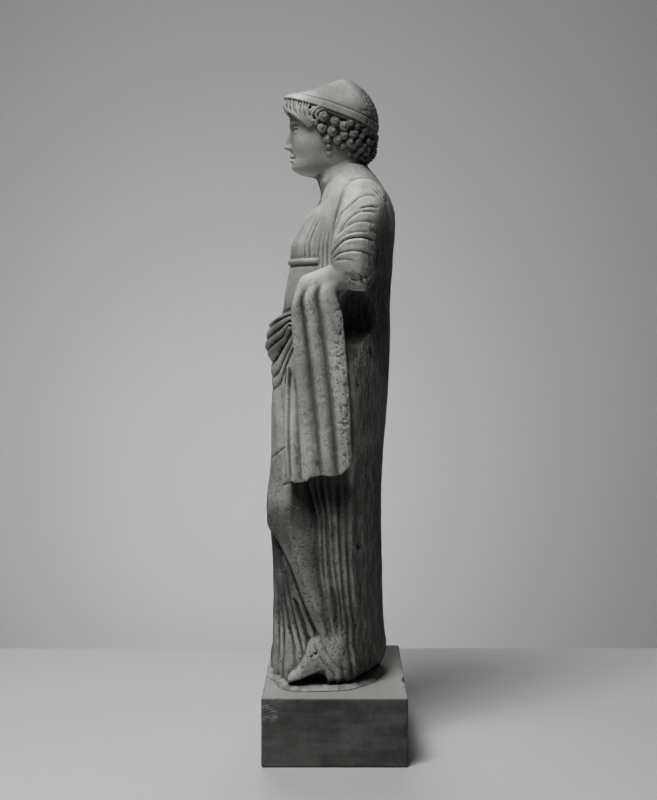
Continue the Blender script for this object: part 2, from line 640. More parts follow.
def place_body(around, along):
    angle = -180 + 360 * around
    z = BODY_LOW + (BODY_HIGH - BODY_LOW) * along
    ahead = cosine(angle) > 0
    power = 2 / np.where(ahead, FRONT_ROUND, BACK_ROUND)
    width = np.where(sine(angle) > 0, LEFT_WIDTH(z), RIGHT_WIDTH(z))
    deep = np.where(ahead, FRONT(z) - MIDDLE(z), BACK(z) - MIDDLE(z))
    x = np.sign(sine(angle)) * width * np.abs(sine(angle)) ** power
    y = deep * np.abs(cosine(angle)) ** power
    reach = np.maximum(np.hypot(x, y), 1e-6)
    relief = sum(part(angle, z) for part in (skirt_relief, swag_relief, bodice_relief, under_folds))
    relief += side_depth(angle, z, MIDDLE(z) + y)
    x, y = x * (1 + relief / reach), MIDDLE(z) + y * (1 + relief / reach)
    # The hollow under the left elbow: the skin is pushed in along its own direction
    run_x, run_y = -x, MIDDLE(z) - y
    long = np.maximum(np.hypot(run_x, run_y), 1e-6)
    run_x, run_y = run_x / long, run_y / long
    sizes = [("x", "wide", x), ("y", "deep", y), ("z", "high", z)]
    off = [(value - HOLLOW[middle]) / HOLLOW[size] for middle, size, value in sizes]
    way = [run_x / HOLLOW["wide"], run_y / HOLLOW["deep"]]
    a = way[0] ** 2 + way[1] ** 2
    b = off[0] * way[0] + off[1] * way[1]
    c = off[0] ** 2 + off[1] ** 2 + off[2] ** 2 - 1
    push = np.where(c < 0, (-b + np.sqrt(np.maximum(b * b - a * c, 0))) / a, 0)
    return x + push * run_x, y + push * run_y, z


sculpted = []


def carve(name, around, along, place, grain=GRAIN):
    """A skin that joins the carving, from its girth and length in millimetres."""
    sculpted.append(rolled(name, int(around / grain), int(along / grain), place))


carve("body", 640, 810, place_body)

# The left arm is bent. Its sleeve hangs from the shoulder in folds that all run to the crook of
# the elbow, and the forearm points forward, wrapped in the mantle down to the wrist.

ELBOW, SHOULDER_TOP = 712, 891
ARM_OUT = curve([(712, 107), (760, 106), (800, 101), (840, 90), (870, 70), (884, 55)])
ARM_Y = curve([(712, 38), (760, 28), (800, 33), (850, 45), (884, 46)])
ARM_WIDE = curve([
    (712, 10), (722, 18), (760, 24), (800, 27), (840, 31), (866, 29), (880, 22), (888, 12), (891, 4),
])
ARM_DEEP = curve([(712, 12), (724, 25), (760, 34), (800, 36), (850, 36), (874, 30), (886, 18), (891, 6)])
FOREARM_Z = curve([
    (-61, 711), (-58, 714), (-52, 719), (-37, 723), (-15, 729), (0, 734), (30, 740), (50, 743),
    (67, 742),
])
FOREARM_HIGH = curve([
    (-61, 3), (-58, 9.5), (-52, 16), (-37, 19), (0, 22), (30, 22), (50, 21), (60, 15), (68, 4),
])
FOREARM_WIDE = curve([(-61, 5), (-58, 10), (-50, 15), (0, 17), (40, 20), (54, 16), (62, 10), (68, 3)])
FOREARM = {"x": 104, "front": -61, "rear": 67}
# Each sleeve line: its points as Y and height from the crook outwards, its depth and its width
SLEEVE_LINES = [
    ([(2, 820), (6, 827.5), (24, 844.5), (36.5, 854.9), (51, 859.4), (63.4, 856.9), (72, 848)], 3.6, 1.5),
    ([(8.5, 805.2), (22, 821.7), (36.5, 831.5), (53, 832.5), (66, 830)], 2.4, 1.5),
    ([(37.5, 837.3), (55, 840.5), (67, 838.7)], 3.8, 1.5),
    ([(3.3, 797.9), (22, 812.4), (40.6, 817.6), (59.3, 816.5), (68, 813)], 2.2, 1.5),
    ([(-7, 763.7), (1.3, 777.2), (13.7, 788.6), (24, 791.7), (44.8, 792.7), (63, 788)], 4.6, 1.9),
    ([(-6, 759.6), (7.5, 768.9), (24, 772.4), (36.5, 772), (51, 768.9), (63, 762)], 2.8, 1.5),
    ([(-9, 758), (-7.5, 784.4), (-3, 799), (3.3, 815), (10, 826)], 3.4, 1.7),
    ([(-5, 757), (11.6, 759.6), (24, 758.5), (38, 752), (52, 744)], 1.8, 1.5),
    ([(54, 805.2), (66, 800)], 3.0, 1.6),
    ([(-3, 780.3), (11.6, 794.8), (28.2, 801), (48.9, 801.5), (66, 796)], 2.0, 1.5),
    ([(56, 778), (68, 770)], 2.4, 1.6),
    ([(14, 727), (24, 732), (38, 731)], 2.2, 1.3),
    ([(26, 722), (40, 729), (56, 730)], 2.2, 1.3),
    ([(40, 738), (52, 734), (60, 740)], 2.6, 1.4),
]


def smooth_line(points, count=14):
    """The same line with more points, rounded at its bends."""
    points = np.array(points, float)
    run = np.concatenate([[0], np.cumsum(np.hypot(*np.diff(points, axis=0).T))])
    at = np.linspace(0, run[-1], count)
    return np.column_stack([curve(list(zip(run, points[:, i])))(at) for i in (0, 1)])


def off_line(y, z, line):
    """How far each point is from a line, on which side of it, and the share of the way along."""
    near = np.full(y.shape, 1e9)
    side = np.zeros(y.shape)
    share = np.zeros(y.shape)
    legs = len(line) - 1
    for i in range(legs):
        (ay, az), (by, bz) = line[i], line[i + 1]
        along_y, along_z = by - ay, bz - az
        long = along_y ** 2 + along_z ** 2 + 1e-9
        t = np.clip(((y - ay) * along_y + (z - az) * along_z) / long, 0, 1)
        away_y, away_z = y - ay - t * along_y, z - az - t * along_z
        gap = np.hypot(away_y, away_z)
        closer = gap < near
        near = np.where(closer, gap, near)
        side = np.where(closer, np.sign(along_y * away_z - along_z * away_y), side)
        share = np.where(closer, (i + t) / legs, share)
    return near, side, share


def fold_lines(y, z, lines, roll=0.3):
    """Cut lines with a soft roll of cloth along their lower side, tapered at both ends."""
    relief = np.zeros(y.shape)
    for points, deep, wide in lines:
        line = smooth_line(points)
        reach = 5 * wide
        close = (y > line[:, 0].min() - reach) & (y < line[:, 0].max() + reach)
        close &= (z > line[:, 1].min() - reach) & (z < line[:, 1].max() + reach)
        near, side, share = off_line(y[close], z[close], line)
        ends = window(-0.02, 0.14, 0.8, 1.02, share) + 0.25 * (share > 0) * (share < 1)
        cut = -1.15 * deep * bell(near, wide * np.where(side < 0, 0.65, 1.05))
        lift = roll * deep * bell(near - 2.1 * wide, 1.5 * wide) * (side < 0)
        relief[close] += np.minimum(ends, 1) * (cut + lift)
    return relief


def place_sleeve(around, along):
    angle = 360 * around
    z = ELBOW + (SHOULDER_TOP - ELBOW) * along
    x, y = ARM_OUT(z) + ARM_WIDE(z) * sine(angle), ARM_Y(z) - ARM_DEEP(z) * cosine(angle)
    relief = fold_lines(y, z, SLEEVE_LINES) * ease(-0.1, 0.35, sine(angle))
    back = 1.5 * ease(0.1, 0.6, -cosine(angle)) * (np.abs(np.sin(z / 7.5 + angle / 30)) - 0.6)
    relief += back * window(716, 740, 850, 880, z)
    return x + relief * sine(angle), y - relief * cosine(angle), z


def place_forearm(around, along):
    angle = -360 * around
    y = FOREARM["front"] + (FOREARM["rear"] - FOREARM["front"]) * along
    relief = 1.1 * (np.abs(np.sin(y / 9 + angle / 50)) ** 0.7 - 0.8)
    relief *= ease(0, 0.5, cosine(angle)) * ease(-50, -20, y)
    wide, high = FOREARM_WIDE(y) + relief, FOREARM_HIGH(y) + relief
    return FOREARM["x"] + wide * sine(angle), y, FOREARM_Z(y) + high * cosine(angle)


carve("left_sleeve", 260, 190, place_sleeve)
carve("left_forearm", 150, 150, place_forearm)

# The free end of the mantle hangs from the forearm as a thick fall of flat pleats. A second layer
# shows in front of it lower down, and its hem steps in zigzags well clear of the skirt.

# Lines of the pleats from the forearm down to the hem, as Y and height, and how far they stand
PLEATS = [
    ([(-54.5, 743), (-61, 730), (-65, 709), (-67, 688), (-66.5, 668), (-56.7, 546), (-49.9, 424)], -1),
    ([(-51, 743), (-56, 722), (-59.5, 700), (-58.5, 668), (-49, 546), (-40, 424)], 3.5),
    ([(-49, 743), (-53, 722), (-55, 700), (-52.5, 668), (-42, 546), (-33.5, 424)], 2.5),
    ([(-45, 743), (-48, 722), (-50, 700), (-46.5, 668), (-31.5, 546), (-19.5, 424)], -9.5),
    ([(-30, 742), (-37, 722), (-42, 709), (-37, 668), (-22.5, 546), (-11, 424)], 3.5),
    ([(-26, 742), (-31, 722), (-35, 709), (-30.5, 668), (-16, 546), (-5, 424)], 3),
    ([(-20, 742), (-25, 722), (-27, 705), (-21, 668), (-5.8, 546), (4.8, 424)], -9.5),
    ([(-10, 742), (-14, 722), (-17, 709), (-9, 668), (4, 546), (11, 424)], 3),
    ([(0, 742), (-6, 722), (-8, 709), (2, 668), (14, 546), (18, 424)], 2.5),
    ([(14, 742), (6, 722), (3, 709), (12.4, 668), (23, 546), (27, 424)], -3),
]
PLEAT_LINES = [(curve([(z, y) for y, z in reversed(table)]), high) for table, high in PLEATS]
FALL = {"top": 743, "proud": 118.5, "inner": 58, "hem": 424.0}
# How far the fall stands out from its plain face at each height, where it goes over the forearm
SHOULDER = [[430, 560, 640, 690, 705, 718, 730, 738, 743], [0, 0, 1, 3, 4.5, 4.5, 1, -4, -10]]
HEM = curve([(-52, 419), (-46, 419), (-40, 422), (-35, 430), (-12, 430), (7, 431), (14, 436), (27, 447)])
UNDER_HEM = curve([(-74, 424), (-66, 422), (-62, 419), (-55, 420), (-44, 421)])
UNDER_LINES = [
    (curve([(420, -72), (470, -76), (546, -78), (590, -76)]), -3.0),
    (curve([(420, -70.5), (470, -73.5), (546, -75), (590, -74)]), 1.0),
    (curve([(420, -68), (470, -70), (546, -71.5), (590, -71)]), -3.5),
    (curve([(420, -62), (470, -63.5), (546, -65), (590, -66)]), 3.5),
    (curve([(420, -57), (470, -58.5), (546, -61), (590, -62)]), 1.0),
    (curve([(420, -44), (470, -46), (546, -50), (590, -55)]), -3.0),
]


def place_fall(lines, top, proud, share_out, hem):
    first, last = lines[0][0], lines[-1][0]

    def place(around, along):
        across = np.clip(around / share_out, 0, 1)
        rest = np.clip((around - share_out) / (1 - share_out), 0, 1)
        foot = first(FALL["hem"]) + (last(FALL["hem"]) - first(FALL["hem"])) * across
        z = hem(foot) + (top - hem(foot)) * along
        y = first(z) + (last(z) - first(z)) * across
        relief = draped(y, z, lines) * (1 - 0.9 * ease(704, 740, z))
        shoulder = np.interp(z, *SHOULDER)
        out = proud + relief + np.where(proud > 116, shoulder, -44 * ease(470, 596, z) ** 1.4)
        inner = np.interp(z, [712, 738, 743], [FALL["inner"], 84, 92])
        # Round the rear flank, forward along the hidden inner side and out again in front
        flank_x = np.interp(rest, [0, 0.45, 0.55, 1], [0, 1, 1, 0])
        flank_y = np.interp(rest, [0, 0.05, 0.45, 0.55, 0.95, 1], [1, 0.99, 0.95, 0.05, 0.01, 0])
        x = np.where(around <= share_out, out, out + (inner - out) * flank_x)
        y = np.where(around <= share_out, y, first(z) + (last(z) - first(z)) * flank_y)
        return x, y, z - 0.36 * np.maximum(-y - 10, 0) * ease(655, 743, z)

    return place


fall = place_fall(PLEAT_LINES, FALL["top"], FALL["proud"], 0.6, HEM)
carve("hanging_mantle", 330, 330, fall)
under = place_fall(UNDER_LINES, 596, 114, 0.45, UNDER_HEM)
carve("mantle_under_layer", 200, 160, under)

# The right arm hangs straight down in its sleeve, with the open hand flat against the thigh. It
# is carved in one with the body and plainer than the side that was meant to be seen.

FINGERTIPS, LOWERED_TOP = 510, 884
LOWERED_X = curve([
    (512, -110), (600, -110), (700, -107), (760, -106), (800, -101), (840, -90), (870, -70),
    (884, -55),
])
LOWERED_Y = curve([(512, -24), (590, -16), (650, 0), (700, 15), (760, 28), (850, 45), (884, 46)])
LOWERED_WIDE = curve([
    (510, 2), (513, 5), (560, 9), (592, 12), (650, 17), (690, 20), (694, 20.5), (698, 25), (760, 25),
    (840, 31), (884, 20),
])
LOWERED_DEEP = curve([
    (510, 6), (514, 14), (556, 22), (592, 17), (650, 20), (690, 23), (694, 24), (698, 31), (760, 34),
    (850, 36), (884, 24),
])
FINGER = {"count": 4, "thick": 5.4, "long": 47, "spread": 10.3, "top": 552, "tips": 520}
RIGHT_SLEEVE_LINES = [
    ([(6, 704), (20, 716), (40, 720), (58, 714)], 2.4, 2.2),
    ([(4, 724), (20, 742), (42, 746), (62, 738)], 2.6, 2.2),
    ([(2, 748), (18, 768), (42, 774), (64, 764)], 2.4, 2.2),
    ([(2, 776), (18, 796), (40, 804), (66, 796)], 2.6, 2.2),
    ([(6, 806), (24, 826), (44, 832), (68, 824)], 2.2, 2.0),
    ([(12, 836), (30, 852), (50, 857), (68, 850)], 2.0, 2.0),
]


def place_lowered(around, along):
    angle = -360 * around
    z = FINGERTIPS + (LOWERED_TOP - FINGERTIPS) * along
    relief = fold_lines(ARM_Y(z) - ARM_DEEP(z) * cosine(angle), z, RIGHT_SLEEVE_LINES)
    relief *= ease(-0.1, 0.35, sine(angle))
    x = LOWERED_X(z) - (LOWERED_WIDE(z) + relief) * sine(angle)
    return x, LOWERED_Y(z) - (LOWERED_DEEP(z) + relief) * cosine(angle), z


def ball(name, size, middle, turn=(0, 0, 0), detail=24):
    """A rounded lump of stone: a sphere, stretched, turned and set in its place."""
    bpy.ops.mesh.primitive_uv_sphere_add(segments=detail, ring_count=detail // 2, radius=0.001)
    piece = bpy.context.object
    piece.name = name
    piece.scale = size
    piece.rotation_euler = [math.radians(a) for a in turn]
    piece.location = np.array(middle) / 1000
    bpy.ops.object.transform_apply(location=True, rotation=True, scale=True)
    return piece


def strand(name, points, thick, around=16, along=40, flat=1.0):
    """A rounded strand along a line of points, thinner at both ends."""
    points = np.array(points, float)
    run = np.concatenate([[0], np.cumsum(np.linalg.norm(np.diff(points, axis=0), axis=1))])
    lines = [curve(list(zip(run, points[:, i]))) for i in range(3)]

    def place(round_share, share):
        at = share * run[-1]
        middle = np.column_stack([line(at) for line in lines])
        ahead = np.column_stack([line(at + 0.5) - line(at - 0.5) for line in lines])
        ahead /= np.linalg.norm(ahead, axis=1)[:, None]
        across = np.cross([0, 0, 1.0], ahead)
        across /= np.maximum(np.linalg.norm(across, axis=1)[:, None], 1e-6)
        other = np.cross(ahead, across)
        size = thick * (0.3 + 0.7 * np.sin(math.pi * np.clip(share, 0.02, 0.98)) ** 0.6)[:, None]
        turn = (360 * round_share)[:, None]
        return tuple((middle + size * flat * across * cosine(turn) + size * other * sine(turn)).T)

    return rolled(name, around, along, place)


carve("right_arm", 220, 380, place_lowered)
for i in range(FINGER["count"]):
    across = (i - (FINGER["count"] - 1) / 2) * FINGER["spread"]
    long = FINGER["long"] * (1 - 0.07 * abs(i - 1.2))
    path = []
    for z in FINGER["top"] - long * np.array([1, 0.66, 0.33, 0]):
        tip = z < FINGER["tips"]
        x = LOWERED_X(z) - 5.5 + 1.5 * tip
        path.append((x, LOWERED_Y(z) + across * (0.85 if tip else 1.0), z))
    sculpted.append(strand(f"finger_{i}", path, FINGER["thick"]))
THUMB = [(-112, -38, 528), (-116, -40, 546), (-117, -34, 566), (-113, -26, 584)]
sculpted.append(strand("thumb", THUMB, 6.0))

# The feet: the left one stands a step forward under the skirt and is undercut right up to the thin
# edge of its sandal, and only the toes of the right one show under the hem.

LEFT_FOOT = {"x": 108, "heel": 8, "toe": -72}
FOOT_TOP = curve([
    (-72, 121), (-68, 128), (-60, 135), (-53, 144), (-46, 159), (-42, 174), (-34, 184), (-18, 189),
    (8, 186),
])
FOOT_SOLE = curve([(-72, 114), (-66, 116), (-50, 121), (-35, 127), (-19, 133), (4, 140)])
FOOT_WIDE = curve([(-72, 10), (-68, 15), (-60, 19), (-48, 21), (-20, 20.5), (2, 16), (8, 10)])
RIGHT_FOOT = {"x": -44, "heel": -70, "toe": -107, "wide": 17, "high": 15}


def place_foot(around, along):
    angle = -360 * around
    y = LEFT_FOOT["toe"] + (LEFT_FOOT["heel"] - LEFT_FOOT["toe"]) * along
    middle, high = (FOOT_TOP(y) + FOOT_SOLE(y)) / 2, (FOOT_TOP(y) - FOOT_SOLE(y)) / 2 + 1
    x = FOOT_WIDE(y) * np.sign(sine(angle)) * np.abs(sine(angle)) ** 0.7
    toes = -2.2 * bell((x + 34) % 7.2 - 3.6, 1.1) * ebb(-64, -54, y) * (cosine(angle) > -0.2)
    strap = 1.3 * bell(y + 55 + 0.12 * x, 2.6) * ease(0, 0.4, cosine(angle))
    lift = strap + toes
    return LEFT_FOOT["x"] + x + lift * sine(angle), y, middle + (high + lift) * cosine(angle)


def place_toes(around, along):
    angle = -360 * around
    y = RIGHT_FOOT["toe"] + (RIGHT_FOOT["heel"] - RIGHT_FOOT["toe"]) * along
    size = np.sqrt(np.clip(1 - (1 - np.clip(along * 1.6, 0, 1)) ** 2, 0.02, 1))
    x = RIGHT_FOOT["wide"] * size * sine(angle)
    groove = -2 * bell((x + 34) % 6.8 - 3.4, 1.1) * ebb(-96, -84, y) * ease(0, 0.3, cosine(angle))
    return RIGHT_FOOT["x"] + x, y, SOLE - 3 + ((RIGHT_FOOT["high"] + 3) * size + groove) * cosine(angle)


carve("left_foot", 110, 100, place_foot)
sculpted.append(ball("hem_over_instep", (19, 24, 34), (109, -7, 156), turn=(-12, 0, 0)))
carve("right_toes", 90, 50, place_toes)

# Neck and head. The face is calm and regular: the eyes lie halfway down the head, and brow, nose
# and chin divide it in equal parts. Soft, rounded planes, as in limestone rubbed down with sand.

NECK_Y = curve([(846, 30), (862, 25), (876, 18), (894, 9), (940, 8)])
NECK_DEEP = curve([(846, 52), (862, 47), (876, 41.5), (894, 38), (940, 37)])
NECK_WIDE = curve([(846, 62), (862, 53), (876, 44), (890, 38.5), (905, 36), (940, 34)])
NECK_LOW, NECK_HIGH = 846, 940
FACE_LOW, FACE_HIGH = 897, 1042
CROWDING = 38
HEAD_Y = -4
FACE_FRONT = curve([
    (897, -30), (899, -44), (903, -58), (910, -66), (918, -68.5), (928, -68), (941, -69.5), (960, -70),
    (973, -70), (984, -72.5), (1000, -73), (1017, -68), (1032, -52), (1042, -25),
])
FACE_BACK = curve([(897, 20), (930, 44), (970, 56), (1010, 54), (1032, 38), (1042, 10)])
FACE_WIDE = curve([
    (897, 12), (900, 21), (908, 30), (918, 36.5), (940, 43), (960, 46), (985, 48), (1010, 48),
    (1032, 34), (1042, 12),
])
EYE = {"x": 18.5, "z": 972, "half": 10, "open": 3.5, "below": 2.9}
NOSE = curve([
    (936, 0), (941, 4), (944, 10.2), (947, 12.6), (951, 12), (958, 9), (970, 4.2), (980, 1.6),
    (990, 0),
])
NOSE_HALF = curve([(940, 8.5), (947, 7.2), (953, 5.2), (965, 4.2), (982, 5.5)])


def face_relief(x, z):
    side = np.abs(x)
    nose = NOSE(z) / (1 + (side / NOSE_HALF(z)) ** 4)
    wings = 4.2 * bell(side - 8, 3.4) * bell(z - 945.5, 4.2) - 1.8 * bell(side - 11.8, 2) * bell(z - 947, 5)
    nostrils = -2.6 * bell(side - 4.3, 2.1) * bell(z - 940.6, 1.9)
    outward = side - EYE["x"]
    socket_deep = -5.6 * bell(outward + 1, 12) * bell(z - EYE["z"] - 1, 8)
    socket_deep -= 2.4 * bell(side - 8.5, 4) * bell(z - 974, 6)
    arch = 4.4 * np.sqrt(np.clip(1 - (outward / 17) ** 2, 0, 1))
    brow = 2.7 * bell(z - 979.5 - arch, 2.8) * bell(outward - 1, 15)
    lid = np.sqrt(np.clip(1 - (outward / EYE["half"]) ** 2, 0, 1))
    upper, lower = z - EYE["z"] - EYE["open"] * lid, z - EYE["z"] + EYE["below"] * lid
    near_eye = window(-EYE["half"] - 2, -EYE["half"] + 1, EYE["half"] - 1, EYE["half"] + 2, outward)
    eyeball = 5.6 * bell(outward, 10) * bell(z - EYE["z"], 7)
    inside = near_eye * ebb(-0.8, 0.2, upper) * ease(-0.2, 0.8, lower)
    rims = 2.2 * bell(upper - 1, 1.2) - 1.4 * bell(upper - 4, 1.3) + 1.4 * bell(lower + 0.9, 1.1)
    eyes = socket_deep + brow + eyeball + near_eye * rims - 1.1 * inside
    bow = 1.4 * bell(side - 4.2, 3.6) - 0.8 * bell(side, 2.0)
    upper_lip = 3.6 * bell(z - 931.3 - bow * 0.5, 2.5) * ebb(9, 14.5, side)
    lower_lip = 3.7 * bell(z - 924.4, 2.9) * ebb(7, 12.5, side)
    between_lips = z - 928 - 0.4 * bell(side - 5, 3) + 0.35 * ease(9, 14, side)
    parting = -2.0 * bell(between_lips, 1.0) * ebb(12, 15, side)
    groove = -1.0 * bell(side, 2.2) * bell(z - 936.5, 3) - 1.4 * bell(side, 11) * bell(z - 918.5, 3.2)
    corners_deep = -1.4 * bell(side - 14.5, 2.6) * bell(z - 928, 3)
    chin = 3.4 * bell(side, 13) * bell(z - 909.5, 6.5)
    cheek = 2.4 * bell(side - 27, 13) * bell(z - 950, 14)
    mouth = 1.8 * bell(side, 18) * bell(z - 928, 12)
    lips = upper_lip + lower_lip + parting + groove + corners_deep + mouth
    return nose + wings + nostrils + eyes + lips + chin + cheek


def place_face(around, along):
    angle = -180 + 360 * around
    # More corners go to the front of the head than to its hidden back
    angle = angle - CROWDING * sine(angle)
    z = FACE_LOW + (FACE_HIGH - FACE_LOW) * along
    ahead = cosine(angle) > 0
    reach = np.where(ahead, FACE_FRONT(z), FACE_BACK(z)) - HEAD_Y
    power = 2 / 2.1
    x = np.sign(sine(angle)) * FACE_WIDE(z) * np.abs(sine(angle)) ** power
    y = HEAD_Y + reach * np.abs(cosine(angle)) ** power
    return x, y - np.where(ahead, face_relief(x, z) * np.clip(cosine(angle) * 1.15, 0, 1), 0), z


def place_neck(around, along):
    angle = -360 * around
    z = NECK_LOW + (NECK_HIGH - NECK_LOW) * along
    rings = 0.7 * (bell(z - 893, 2.4) + bell(z - 881, 2.6))
    return (NECK_WIDE(z) - rings) * sine(angle), NECK_Y(z) - (NECK_DEEP(z) - rings) * cosine(angle), z


HEAD_GRAIN = 0.75 if FINE else 1.6
carve("neck", 230, 95, place_neck)
carve("face", 330, 145, place_face, HEAD_GRAIN)

# The hair: wavy locks swept back from the brow, rows of snail curls over the ears and down to the
# nape, a flat fillet with three grooves, and a close cap combed back and cut more coarsely behind.

# The hair is built on level rings, which the head's pose tips back by this slope
TILT = 0.354
HAIR_LOW, HAIR_HIGH = 936, 1063
HAIR_MIDDLE = curve([(936, -4), (1000, -4), (1024, 12), (1050, 21), (1063, 23)])
HAIR_FRONT = curve([
    (936, -20), (960, -78), (986, -82), (999, -79), (1012, -61), (1024, -40), (1040, -17), (1052, -1),
    (1060, 11), (1063, 21),
])
HAIR_BACK = curve([
    (936, 49), (953, 62), (967, 65.4), (995, 68.6), (1017, 69.6), (1032, 66), (1045, 58), (1055, 46),
    (1060, 35), (1063, 25),
])
HAIR_WIDE = curve([
    (936, 36), (950, 49), (968, 55), (995, 58), (1017, 54), (1032, 46), (1045, 35), (1055, 22),
    (1063, 3),
])
FILLET = {"low": 995.5, "high": 1007, "proud": 2.8}
HAIRLINE = {"y": -70, "z": 997, "slope": -0.958}


def hair_place(angle, level, proud):
    middle = HAIR_MIDDLE(level)
    reach = np.where(cosine(angle) > 0, HAIR_FRONT(level), HAIR_BACK(level)) - middle
    x = (HAIR_WIDE(level) + proud) * sine(angle)
    y = middle + (reach + np.sign(reach) * proud) * np.abs(cosine(angle))
    return x, y, level - TILT * y


def hair_relief(angle, level):
    across = (level - FILLET["low"]) / (FILLET["high"] - FILLET["low"])
    band = window(-0.06, 0.06, 0.94, 1.06, across)
    grooves = 1.5 * band * (bell(across - 0.33, 0.055) + bell(across - 0.67, 0.055))
    fillet = band * FILLET["proud"] * (1 - 0.6 * ease(110, 165, np.abs(angle))) - grooves
    seat = -1.6 * (bell(across + 0.14, 0.1) + bell(across - 1.14, 0.1))
    behind = ease(66, 120, np.abs(angle))
    sweep = angle * (1 + (level - 1007) * 0.012) + 2.5 * np.sin(level / 6 + angle / 14)
    strands = np.abs(np.sin(math.pi * (sweep / 7 + 0.3 * np.sin(sweep / 9)))) ** 0.7 - 1
    crown = window(FILLET["high"] + 1, FILLET["high"] + 6, 1042, 1056, level)
    cap = crown * (0.12 + 1.1 * behind) * strands
    # The ground behind the curls lies deep, and a plaited edge runs down the middle of the back
    below = ebb(FILLET["low"] - 7, FILLET["low"] - 3, level)
    ground = -6.5 * below * ease(46, 60, np.abs(angle))
    plait = 7.7 * below * ease(160, 169, np.abs(angle))
    plait *= 1 + 0.3 * np.sin(level * 1.25 + np.abs(angle) * 0.25)
    return fillet + seat + cap + ground + plait


def place_hair(around, along):
    angle = -180 + 360 * around
    level = HAIR_LOW + (HAIR_HIGH - HAIR_LOW) * along
    x, y, z = hair_place(angle, level, hair_relief(angle, level))
    # The face is left free: hair in front of the hairline is drawn back inside the head
    over = (HAIRLINE["z"] - z) + HAIRLINE["slope"] * (y - HAIRLINE["y"])
    inside = ease(0, 1.5, over)
    return x * (1 - 0.45 * inside), y + inside * (8 - y) * 0.6, z


carve("hair_cap", 360, 170, place_hair, HEAD_GRAIN)

# The brow hair is parted in the middle. Its locks fall from under the fillet and swing back along
# the hairline into the curls, and a few more swing forward from behind: the first, middle and last
# lock of both groups, as Y and height, the number of locks in each and how thick they are
BROW_LOCKS = [
    [(-79.5, 1023), (-81, 1015), (-80, 1008), (-76.5, 1003), (-70, 998), (-62, 990)],
    [(-66, 1018), (-66.5, 1009), (-63, 999), (-56, 989), (-48, 980.5), (-39, 972)],
    [(-41, 1010), (-43, 1002), (-43.5, 994), (-41, 987), (-36, 981.5), (-31, 982)],
]
LOOP_LOCKS = [
    [(-28, 1006), (-34, 1002.5), (-39, 998), (-42, 992), (-41, 986), (-37, 981)],
    [(-21, 1003), (-27, 1001), (-33, 996.5), (-36, 991), (-35, 986), (-32, 983)],
    [(-14, 1001), (-20, 1000), (-26, 997.5), (-30, 993), (-30, 988), (-27, 983)],
]
LOCK_GROUPS = [("brow", BROW_LOCKS, 12, 2.7), ("loop", LOOP_LOCKS, 3, 2.5)]
# Curls beside the face, as Y, height and size, then the looser rows that run round to the nape
TEMPLE_CURLS = [
    (-33, 981, 5.2), (-17, 988.5, 8.6), (-21, 971.5, 7.8), (1, 981.5, 8.2), (-4, 966.5, 8.0),
    (-13, 955, 6.8),
    (15.5, 974, 8.0), (16, 961, 6.6), (5, 953, 7.0), (31, 963, 7.2), (25, 950, 6.6), (12, 944, 6.0),
    (37, 950, 6.2),
]
CURL_ROWS = [
    {"level": 987, "first": 116, "step": 12, "last": 162, "size": 5.6},
    {"level": 975, "first": 124, "step": 12, "last": 162, "size": 5.4},
    {"level": 964, "first": 130, "step": 11, "last": 162, "size": 5.2},
    {"level": 953, "first": 124, "step": 12, "last": 162, "size": 5.0},
    {"level": 943, "first": 120, "step": 12, "last": 160, "size": 4.6},
]


def hair_angle(y, z):
    """Where a point of the side view lies round the hair, and its level."""
    level = z + TILT * y
    middle = HAIR_MIDDLE(level)
    reach = np.where(y < middle, middle - HAIR_FRONT(level), HAIR_BACK(level) - middle)
    turn = np.degrees(np.arccos(np.clip(np.abs(y - middle) / reach, 0, 1)))
    return float(np.where(y < middle, turn, 180 - turn)), float(level)


def snail_curl(name, middle, outward, size, turn, hand):
    """A curl of hair: a low dome that faces outward, with a spiral groove and a raised middle."""
    outward = np.array(outward, float)
    outward /= np.linalg.norm(outward)
    across = np.cross([0, 0, 1.0], outward)
    across /= np.linalg.norm(across)
    upward = np.cross(outward, across)

    def place(around, along):
        angle = 2 * math.pi * around
        radius = size * np.interp(along, [0, 0.78, 1], [0, 1, 1])
        share = radius / size
        spiral = np.cos(2 * math.pi * share * 1.35 - hand * angle + turn)
        dome = 0.8 * size * np.sqrt(np.clip(1 - (0.94 * share) ** 2, 0, 1))
        rise = dome + 1.5 * spiral * window(0.2, 0.45, 0.92, 1.0, share) + 1.8 * bell(share, 0.25)
        rise = np.where(along > 0.78, dome - (along - 0.78) / 0.22 * size, rise)
        flat_x, flat_y = radius * np.cos(angle), radius * np.sin(angle)
        return tuple(
            middle[i] + flat_x * across[i] + flat_y * upward[i] + rise * outward[i] for i in range(3)
        )

    return rolled(name, 34 if FINE else 18, 24 if FINE else 12, place)


random = np.random.default_rng(21)


def set_curl(name, angle, level, size, hand):
    middle = np.array(hair_place(angle, level, 0.0))
    outward = np.array([sine(angle), -cosine(angle), 0.1])
    spin = random.uniform(0, 6.28)
    outward += random.uniform(-0.22, 0.22, 3)
    sculpted.append(snail_curl(name, middle - outward * 4.5, outward, size, spin, hand))


